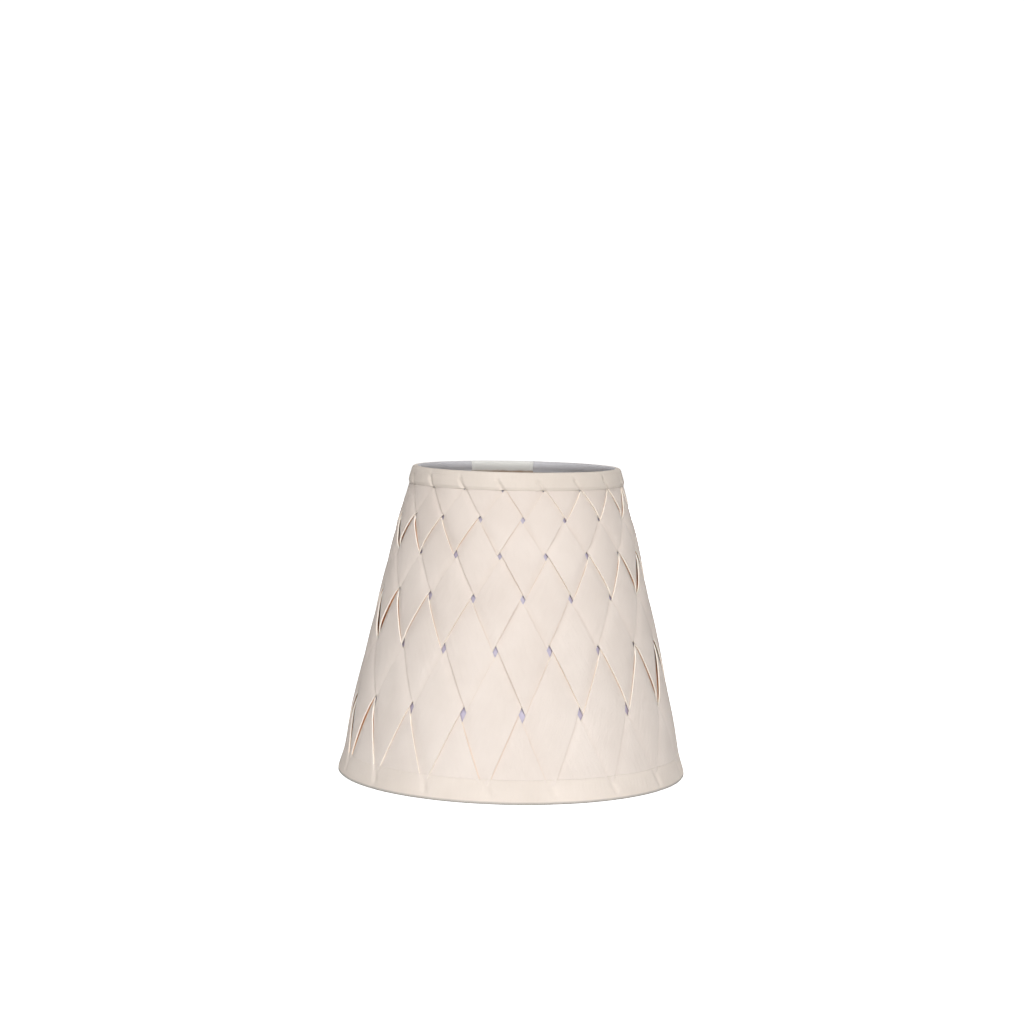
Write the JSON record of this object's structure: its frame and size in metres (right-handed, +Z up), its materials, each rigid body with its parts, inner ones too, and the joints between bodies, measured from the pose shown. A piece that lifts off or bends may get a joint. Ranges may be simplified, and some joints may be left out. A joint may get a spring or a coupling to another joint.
{
  "type": "lamp shade",
  "caption": "Small tapered clip-on lamp shade, basket-woven from card strips over a stiff liner, with folded cloth rims and a tilting sprung clip for a candle bulb.",
  "frame": {"origin": "centre of the bottom rim, on the plane it would stand on", "axes": "+Z up along the cone's axis, +X to the right, the front faces -Y; the liner's joint is at the back"},
  "size_m": [0.1262, 0.1262, 0.1104],
  "materials": {
    "strip_card_down": "matte cream card",
    "strip_card_up": "matte cream card",
    "trim_cloth": "fine matte cream cloth",
    "liner_sheet": "satin white sheet",
    "seam_tape_sheet": "matte tape",
    "ring_steel": "drawn wire",
    "clip_steel": "brass-plated spring wire"
  },
  "bodies": {
    "shade": {"top_trim": "trim_cloth", "bottom_trim": "trim_cloth", "top_ring": "ring_steel", "bottom_ring": "ring_steel", "liner": "liner_sheet", "seam_tape": "seam_tape_sheet", "bridge": "clip_steel", "strip_down_01": "strip_card_down", "strip_down_02": "strip_card_down", "strip_down_03": "strip_card_down", "strip_down_04": "strip_card_down", "strip_down_05": "strip_card_down", "strip_down_06": "strip_card_down", "strip_down_07": "strip_card_down", "strip_down_08": "strip_card_down", "strip_down_09": "strip_card_down", "strip_down_10": "strip_card_down", "strip_down_11": "strip_card_down", "strip_down_12": "strip_card_down", "strip_down_13": "strip_card_down", "strip_down_14": "strip_card_down", "strip_down_15": "strip_card_down", "strip_down_16": "strip_card_down", "strip_down_17": "strip_card_down", "strip_up_01": "strip_card_up", "strip_up_02": "strip_card_up", "strip_up_03": "strip_card_up", "strip_up_04": "strip_card_up", "strip_up_05": "strip_card_up", "strip_up_06": "strip_card_up", "strip_up_07": "strip_card_up", "strip_up_08": "strip_card_up", "strip_up_09": "strip_card_up", "strip_up_10": "strip_card_up", "strip_up_11": "strip_card_up", "strip_up_12": "strip_card_up", "strip_up_13": "strip_card_up", "strip_up_14": "strip_card_up", "strip_up_15": "strip_card_up", "strip_up_16": "strip_card_up", "strip_up_17": "strip_card_up"},
    "saddle": {"clip_saddle": "clip_steel"},
    "front_jaw": {"jaw_front": "clip_steel"},
    "back_jaw": {"jaw_back": "clip_steel"}
  },
  "joints": [
    {"name": "clip_tilt", "type": "hinge", "parent": "shade", "child": "saddle", "pos_m": [0, 0, 0.0984], "axis": [1, 0, 0], "range_deg": [-20, 20]},
    {"name": "jaw_front_open", "type": "hinge", "parent": "saddle", "child": "front_jaw", "pos_m": [0, -0.008, 0.0967], "axis": [-1, 0, 0], "range_deg": [0, 15], "stiffness_Nm_per_rad": 0.05, "springref_deg": -2.86},
    {"name": "jaw_back_open", "type": "hinge", "parent": "saddle", "child": "back_jaw", "pos_m": [0, 0.008, 0.0967], "axis": [1, 0, 0], "range_deg": [0, 15], "stiffness_Nm_per_rad": 0.05, "springref_deg": -2.86}
  ],
  "couplings": [
    {"joint": "jaw_back_open", "follows": "jaw_front_open", "ratio": 1}
  ]
}
